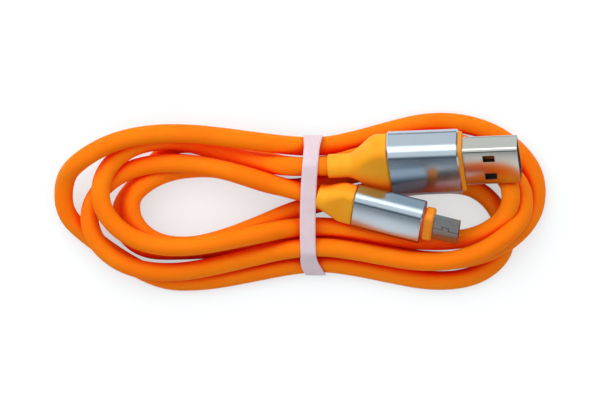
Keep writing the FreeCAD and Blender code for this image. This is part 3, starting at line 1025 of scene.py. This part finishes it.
def makeSeam(name, s, place, material):
    bm = bmesh.new()
    line = seamLine(s)
    half = s["width"] / 2
    z = s["height"] + s["lift"]
    for (ax, ay), (bx, by) in zip(line, line[1:]):
        size = math.hypot(bx - ax, by - ay)
        tx, ty = (bx - ax) / size, (by - ay) / size
        ax, ay, bx, by = ax - tx * half, ay - ty * half, bx + tx * half, by + ty * half
        corners = [(ax - ty * half, ay + tx * half), (bx - ty * half, by + tx * half),
                   (bx + ty * half, by - tx * half), (ax + ty * half, ay - tx * half)]
        top = [bm.verts.new(place @ (Vector((x, y, z)) * mm)) for x, y in corners]
        low = [bm.verts.new(place @ (Vector((x, y, z - s["depth"])) * mm)) for x, y in corners]
        bm.faces.new(top)
        bm.faces.new(low)
        for i in range(4):
            j = (i + 1) % 4
            bm.faces.new((top[i], top[j], low[j], low[i]))
    return linkMesh(name, bm, material, smooth=False)


darkFinish = {**finishes["carrier"], "colour": seam["colour"], "paler": seam["paler"]}
seamDark = softMaterial("seamDark", darkFinish)
microSeam = makeSeam("microSeam", seam, microPlace, seamDark)
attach(microSeam, "lead")
print("seam made")


# floor and light
studio = {
    "floorSize": 3.0,
    "floorRoughness": 0.9,
    "floorSpecular": 0.1,
    "floorNear": (0.92, 0.92, 0.92),
    # painted fall-off of light: the floor's colour far from the object
    "paintedFarShade": (0.07, 0.09, 0.11),
    "nearReach": 0.075,
    "farReach": 0.15,
    "shownColour": (0.30, 0.34, 0.345),
    "shownGlow": 0.72,
    # painted shadow: colour and reach of the grey painted into the floor's glow under the cable
    "paintedFloorShadow": (0.70, 0.72, 0.72),
    "paintedFloorShadowReach": 12 * mm,
    # painted reflection: glow of the floor near the object, seen only in reflections
    "paintedReflectionGlow": 0.12,
    "keyPlace": (-0.85, 0.95, 1.3),
    "keySize": 2.2,
    "keyPower": 15.0,
    "skyTop": (0.93, 0.95, 0.97),
    "skyEdge": (0.10, 0.13, 0.16),
    "skyAxis": (0.0, 0.34, 0.94),
    "skyFrom": 0.05,
    "skyTo": 0.5,
}


def makeFloor(s):
    # pale paper with a painted pool of light: its colour darkens away from the object for
    # reflected and bounced rays, and it glows near the object in reflections as a painted
    # reflection;
    # the camera sees it lit and glowing white, with a painted neutral shadow under the cable
    bm = bmesh.new()
    bmesh.ops.create_grid(bm, x_segments=8, y_segments=8, size=s["floorSize"] / 2)
    material, tree, shader = newMaterial("paleFloor")
    setInputs(shader, Roughness=s["floorRoughness"], Specular_IOR_Level=s["floorSpecular"])
    rays = addNode(tree, "ShaderNodeLightPath")
    distance = addNode(tree, "ShaderNodeVectorMath", operation="LENGTH")
    coordinates = addNode(tree, "ShaderNodeTexCoord")
    tree.links.new(coordinates.outputs["Object"], distance.inputs[0])
    # painted pool of light: away from the object the floor's colour fades to dark for reflected
    # and bounced rays
    fall = addNode(tree, "ShaderNodeMapRange", interpolation_type="SMOOTHSTEP")
    setInputs(fall, From_Min=s["nearReach"], From_Max=s["farReach"])
    tree.links.new(distance.outputs["Value"], fall.inputs["Value"])
    paintedPool = mixColours(tree, fall.outputs["Result"], s["floorNear"], s["paintedFarShade"])
    shown = mixColours(tree, rays.outputs["Is Camera Ray"], (0, 0, 0), s["shownColour"])
    tree.links.new(paintedPool, shown.node.inputs[6])
    tree.links.new(shown, shader.inputs["Base Color"])
    # painted reflection: near the object the floor glows faintly, only for glossy and transmission
    # rays
    mirrored = mathNode(tree, "MAXIMUM", rays.outputs["Is Glossy Ray"],
                        rays.outputs["Is Transmission Ray"])
    near = mathNode(tree, "SUBTRACT", 1.0, fall.outputs["Result"])
    glow = mathNode(tree, "MULTIPLY", mirrored, near)
    glow = mathNode(tree, "MULTIPLY", glow, s["paintedReflectionGlow"])
    seen = mathNode(tree, "MULTIPLY", rays.outputs["Is Camera Ray"], s["shownGlow"])
    # painted shadow: the floor's glow turns neutral grey where ambient occlusion finds the cable
    # close by
    floorShadowOcclusion = shadeNode(tree, s["paintedFloorShadowReach"])
    paintedShadowTint = mixColours(tree, floorShadowOcclusion.outputs["AO"], s["paintedFloorShadow"], (1, 1, 1))
    tree.links.new(paintedShadowTint, shader.inputs["Emission Color"])
    tree.links.new(mathNode(tree, "ADD", seen, glow), shader.inputs["Emission Strength"])
    linkMesh("floor", bm, material, smooth=False)


def addLamp(name, place, size, power):
    data = bpy.data.lights.new(name, "AREA")
    data.shape = "DISK"
    data.size = size
    data.energy = power
    lamp = bpy.data.objects.new(name, data)
    bpy.context.scene.collection.objects.link(lamp)
    lamp.location = place
    lamp.rotation_euler = (-Vector(place)).to_track_quat("-Z", "Y").to_euler()


def makeSky(s):
    # bright overhead, dim near the horizon; the camera sees plain white
    world = bpy.data.worlds.new("studioSky")
    bpy.context.scene.world = world
    world.use_nodes = True
    tree = world.node_tree
    background = tree.nodes["Background"]
    height = addNode(tree, "ShaderNodeVectorMath", operation="DOT_PRODUCT")
    height.inputs[1].default_value = s["skyAxis"]
    coordinates = addNode(tree, "ShaderNodeTexCoord")
    tree.links.new(coordinates.outputs["Generated"], height.inputs[0])
    ramp = addNode(tree, "ShaderNodeMapRange", interpolation_type="SMOOTHSTEP")
    setInputs(ramp, From_Min=s["skyFrom"], From_Max=s["skyTo"])
    tree.links.new(height.outputs["Value"], ramp.inputs["Value"])
    sky = mixColours(tree, ramp.outputs["Result"], s["skyEdge"], s["skyTop"])
    rays = addNode(tree, "ShaderNodeLightPath")
    shown = mixColours(tree, rays.outputs["Is Camera Ray"], (0, 0, 0), (1, 1, 1))
    tree.links.new(sky, shown.node.inputs[6])
    tree.links.new(shown, background.inputs["Color"])


makeFloor(studio)
addLamp("keyLamp", studio["keyPlace"], studio["keySize"], studio["keyPower"])
makeSky(studio)
print("stage made")

bpy.context.view_layer.update()
